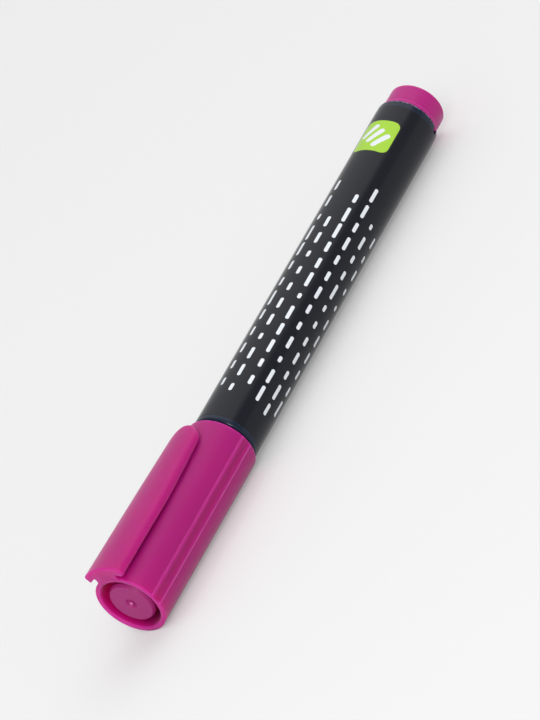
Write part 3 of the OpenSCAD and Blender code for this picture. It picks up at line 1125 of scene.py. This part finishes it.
def plug_piece():
    corners = [
        (BARREL_REAR, 0, 0),
        (BARREL_REAR, STEM_BORE_R, 0),
        (STEM_FRONT, STEM_BORE_R, 0.1),
        (STEM_FRONT, STEM_R, 0.35),
        (COLLAR_FRONT, STEM_R, 0.02),
        (COLLAR_FRONT, COLLAR_R, 0.1),
        (COLLAR_REAR, COLLAR_R, 0.14),
        (COLLAR_REAR, GROOVE_R, 0.05),
        (GROOVE_REAR, GROOVE_R, 0.05),
        (GROOVE_REAR, PLUG_R, 0.1),
        (PLUG_END, PLUG_R, PLUG_EDGE),
        (PLUG_END, 0, 0),
    ]
    return revolve("end_plug_looks", rounded(corners), False, even_turns(PLUG_FACETS))


plug = plug_piece()
dress(plug, "pen", "end_plug", plug_plastic)


# Nib and reservoir


def nib_piece():
    corners = [
        (NIB_TIP, 0, 0),
        (NIB_TIP, NIB_TIP_R * 0.95, NIB_TIP_R * 0.6),
        (NIB_CONE_END, NIB_R, 1.2),
        (NIB_REAR_TAPER, NIB_R, 0.5),
        (NIB_REAR, NIB_R / 2, 0.2),
        (NIB_REAR, 0, 0),
    ]
    return revolve("nib_looks", rounded(corners, steps=8), False, even_turns(NIB_FACETS))


nib = nib_piece()
dress(nib, "pen", "nib", nib_fibre)

for node, material in (("ink_reservoir", reservoir_fibre), ("reservoir_film", reservoir_film)):
    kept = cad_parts[node]
    kept.data.materials.clear()
    kept.data.materials.append(material)


# Floor, lights and camera, with lengths in metres

FLOOR_COLOUR = 0.6
FLOOR_GLOW = 0.24
FLOOR_SIZE = 20.0
FLOOR_GAP = 0.01 * MM

# Strengths of the studio's light and where they change, with turns in degrees from up towards -Y
WALLS = 0.8
LOW_FRONT = 0.6
LOW_FRONT_WAY = Vector((0.57, -0.80, 0.18)).normalized()
LOW_FRONT_EDGE = (0.84, 0.95)
FAR_SIDE = 0.55
FAR_SIDE_EDGE = (0.0, 0.4)
FAR_SIDE_END = (0.1, 0.4)
CEILING = 0.96
CEILING_FRONT_TURNS = (38, 60)
CEILING_BACK_TURNS = (-72, 8)
CEILING_END = (0.3, 0.5)

# Camera, with turns in degrees
VIEW_AZIMUTH = -38.98
VIEW_ELEVATION = 24.404
VIEW_ROLL = -41.616
VIEW_DISTANCE = 0.8337
VIEW_AIM = Vector((-15.165, 9.25, -5.165)) * MM
VIEW_LENS = 210


def floor_piece():
    bm = bmesh.new()
    bmesh.ops.create_grid(bm, x_segments=1, y_segments=1, size=FLOOR_SIZE / 2)
    floor = new_piece("floor", bm)
    floor.location.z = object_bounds()[0].z - FLOOR_GAP
    material, tree, shader = new_material("floor")
    shader.inputs["Base Color"].default_value = (FLOOR_COLOUR,) * 3 + (1,)
    shader.inputs["Roughness"].default_value = 1.0
    shader.inputs["Specular IOR Level"].default_value = 0.0
    path = add_node(tree, "ShaderNodeLightPath").outputs
    seen = plus(tree, path["Is Camera Ray"], path["Is Glossy Ray"])
    seen = plus(tree, seen, path["Is Transmission Ray"])
    seen = add_node(tree, "ShaderNodeClamp", {"Value": seen}).outputs[0]
    shader.inputs["Emission Color"].default_value = (1, 1, 1, 1)
    tree.links.new(times(tree, seen, FLOOR_GLOW), shader.inputs["Emission Strength"])
    floor.data.materials.append(material)


def softbox(name, place, width, depth, radiance):
    """Soft rectangular lamp aimed at the part's origin, whose face has the given radiance."""
    lamp = bpy.data.lights.new(name, "AREA")
    lamp.shape = "RECTANGLE"
    lamp.size = width
    lamp.size_y = depth
    lamp.energy = radiance * math.pi * width * depth
    obj = bpy.data.objects.new(name, lamp)
    obj.location = place
    obj.rotation_euler = (-Vector(place)).to_track_quat("-Z", "Y").to_euler()
    obj.visible_camera = False
    bpy.context.scene.collection.objects.link(obj)


def studio_world():
    """Pale walls, a grey low front and far side, and a bright ceiling panel that lies along the pen."""
    world = bpy.data.worlds.new("studio")
    world.use_nodes = True
    tree = world.node_tree
    way = add_node(tree, "ShaderNodeTexCoord").outputs["Generated"]
    x, y, z = add_node(tree, "ShaderNodeSeparateXYZ", {"Vector": way}).outputs
    turn = maths(tree, "ARCTAN2", times(tree, y, -1.0), z)

    def step(value, edge, low, high):
        return map_range(tree, value, *edge, low, high, "SMOOTHSTEP")

    front = step(turn, [math.radians(t) for t in CEILING_FRONT_TURNS], 1.0, 0.0)
    back = step(turn, [math.radians(t) for t in CEILING_BACK_TURNS], 0.0, 1.0)
    ceiling = times(tree, front, back, step(x, CEILING_END, 0.0, CEILING))
    walls = step(dot_product(tree, way, LOW_FRONT_WAY), LOW_FRONT_EDGE, WALLS, LOW_FRONT)
    behind = times(tree, step(y, FAR_SIDE_EDGE, 0.0, 1.0), step(x, FAR_SIDE_END, 1.0, 0.0))
    walls = minus(tree, walls, times(tree, behind, WALLS - FAR_SIDE))
    background = tree.nodes["Background"]
    tree.links.new(plus(tree, walls, ceiling), background.inputs["Strength"])
    background.inputs["Color"].default_value = (1, 1, 1, 1)
    bpy.context.scene.world = world


def photo_camera():
    """Camera at the photograph's angle, which looks at the pen with the frame rolled."""
    a, e = math.radians(VIEW_AZIMUTH), math.radians(VIEW_ELEVATION)
    back = Vector((math.sin(a) * math.cos(e), -math.cos(a) * math.cos(e), math.sin(e)))
    data = bpy.data.cameras.new("photo_camera")
    data.lens = VIEW_LENS
    data.clip_start = 0.01
    camera = bpy.data.objects.new("photo_camera", data)
    camera.location = VIEW_AIM + back * VIEW_DISTANCE
    camera.rotation_mode = "QUATERNION"
    roll = Quaternion((0, 0, 1), math.radians(VIEW_ROLL))
    camera.rotation_quaternion = (-back).to_track_quat("-Z", "Y") @ roll
    bpy.context.scene.collection.objects.link(camera)
    bpy.context.scene.camera = camera


bpy.context.view_layer.update()
floor_piece()
studio_world()
softbox("key_lamp", (-0.87, -0.83, 0.81), width=0.5, depth=0.38, radiance=12.0)
softbox("end_softbox", (-1.35, -0.4, 0.22), width=1.2, depth=0.4, radiance=1.4)
photo_camera()
bpy.context.scene.view_settings.view_transform = "Standard"

bpy.context.view_layer.update()
